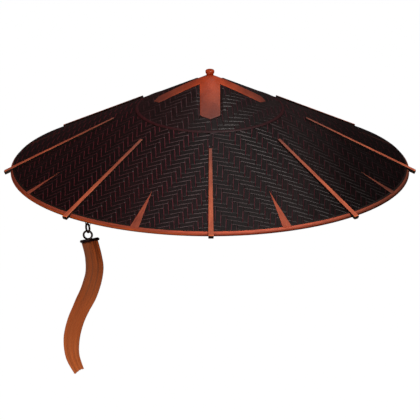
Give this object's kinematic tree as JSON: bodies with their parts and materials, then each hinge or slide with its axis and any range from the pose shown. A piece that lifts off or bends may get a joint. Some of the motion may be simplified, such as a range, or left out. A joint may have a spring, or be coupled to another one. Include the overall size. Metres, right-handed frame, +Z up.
{
  "type": "woven conical samurai hat",
  "caption": "Wide conical woven hat with flat battens, a pointed rim hoop, a cross strap and knob over the apex, and a cloth ribbon hung from the rim.",
  "frame": {"origin": "on the hat's axis, at the level where the inside of the cone rests on a head, about 103 mm above the rim's lower face", "axes": "+Z up along the hat's axis, -Y to the front; the ribbon hangs at the front, to the left as seen from the front"},
  "size_m": [0.4964, 0.4964, 0.3225],
  "materials": {
    "weave": "black lacquered bamboo strips, satin, with dark wine red in the gaps",
    "seam": "dark wine red lacquer, satin",
    "hoop": "red-brown stained wood, satin",
    "rib": "orange-brown stained wood with fine lengthwise grain, satin",
    "strap": "smooth red-brown leather, satin",
    "knob": "turned wood, orange-brown gloss",
    "iron": "blackened iron, satin",
    "ribbon": "rust brown pleated cloth, matt"
  },
  "bodies": {
    "root": {"crown": "weave", "skirt": "weave", "seam_band": "seam", "rim_hoop": "hoop", "rib_1": "rib", "rib_2": "rib", "rib_3": "rib", "rib_4": "rib", "rib_5": "rib", "rib_6": "rib", "rib_7": "rib", "rib_8": "rib", "top_strap": "strap", "knob": "knob", "rim_eye": "iron", "link_ring": "iron", "ribbon_clamp": "iron", "ribbon": "ribbon"}
  },
  "joints": []
}
